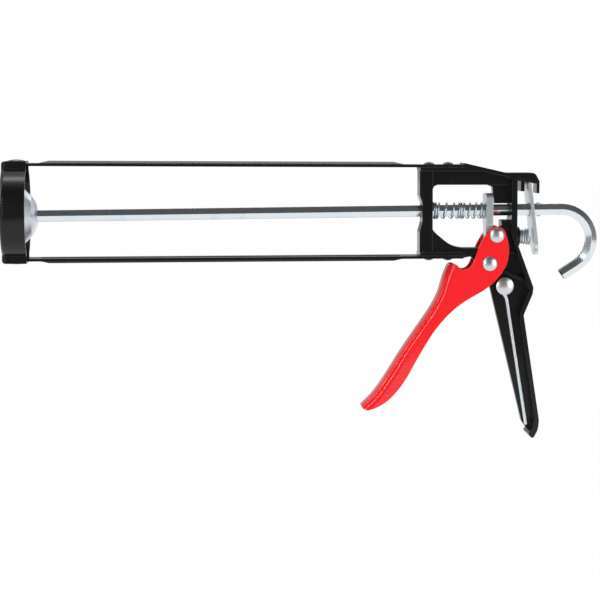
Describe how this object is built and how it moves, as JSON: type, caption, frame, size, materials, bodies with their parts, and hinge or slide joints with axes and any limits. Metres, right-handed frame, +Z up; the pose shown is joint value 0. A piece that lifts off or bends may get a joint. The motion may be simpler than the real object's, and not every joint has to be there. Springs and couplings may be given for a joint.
{
  "type": "skeleton caulking gun",
  "caption": "Skeleton-frame caulking gun with a hooked push rod, trigger, brake plate, springs and a swing-out seal pin.",
  "frame": {"origin": "centre of the nozzle hole on the front plate's outer face", "axes": "+X along the barrel towards the handle and hook, +Z up, Y across the gun"},
  "size_m": [0.3379, 0.054, 0.1588],
  "materials": {
    "black_paint": "gloss black paint over steel and casting",
    "red_paint": "gloss red paint",
    "zinc_rod": "bright zinc-plated drawn bar",
    "zinc_sheet": "zinc-plated pressed sheet",
    "zinc_plate": "zinc-plated blanked plate",
    "zinc_rivet": "plated domed rivet",
    "zinc_wire": "plated spring wire"
  },
  "bodies": {
    "frame": {"handle_frame": "black_paint", "front_cup": "black_paint", "upper_rail": "black_paint", "lower_rail": "black_paint", "cup_rivet_top": "black_paint", "cup_rivet_bottom": "black_paint", "upper_rail_rivet_front": "black_paint", "upper_rail_rivet_rear": "black_paint", "lower_rail_rivet_front": "black_paint", "lower_rail_rivet_rear": "black_paint", "trigger_pivot_rivet": "zinc_rivet", "seal_pin_rivet": "zinc_rivet", "drive_spring": "zinc_wire", "brake_spring": "zinc_wire"},
    "rod": {"push_rod": "zinc_rod", "plunger_plate": "zinc_sheet", "plunger_washer": "zinc_sheet"},
    "trigger": {"trigger": "red_paint", "drive_pin": "zinc_rivet"},
    "drive_plate": {"drive_plate": "zinc_plate"},
    "brake_plate": {"brake_plate": "zinc_plate"},
    "seal_pin": {"seal_pin": "zinc_wire"}
  },
  "joints": [
    {"name": "rod_slide", "type": "slide", "parent": "frame", "child": "rod", "axis": [0.9999, 0, 0.0113], "range_m": [0, 0.2]},
    {"name": "trigger_squeeze", "type": "hinge", "parent": "frame", "child": "trigger", "pos_m": [0.2756, 0, -0.0296], "axis": [0, -1, 0], "range_deg": [0, 26], "stiffness_Nm_per_rad": 0.6, "springref_deg": -22.92},
    {"name": "drive_plate_slide", "type": "slide", "parent": "frame", "child": "drive_plate", "axis": [-0.9999, 0, -0.0113], "range_m": [0, 0.0076], "deforming": ["drive_spring"]},
    {"name": "brake_release", "type": "hinge", "parent": "frame", "child": "brake_plate", "pos_m": [0.298, 0, 0.0154], "axis": [0, 1, 0], "range_deg": [0, 5], "stiffness_Nm_per_rad": 0.05, "springref_deg": -22.92, "deforming": ["brake_spring"]},
    {"name": "seal_pin_swing", "type": "hinge", "parent": "frame", "child": "seal_pin", "pos_m": [0.2847, 0, -0.0426], "axis": [0, 1, 0], "range_deg": [0, 28]}
  ],
  "couplings": [
    {"joint": "drive_plate_slide", "follows": "trigger_squeeze", "m_per_rad": 0.0165}
  ]
}
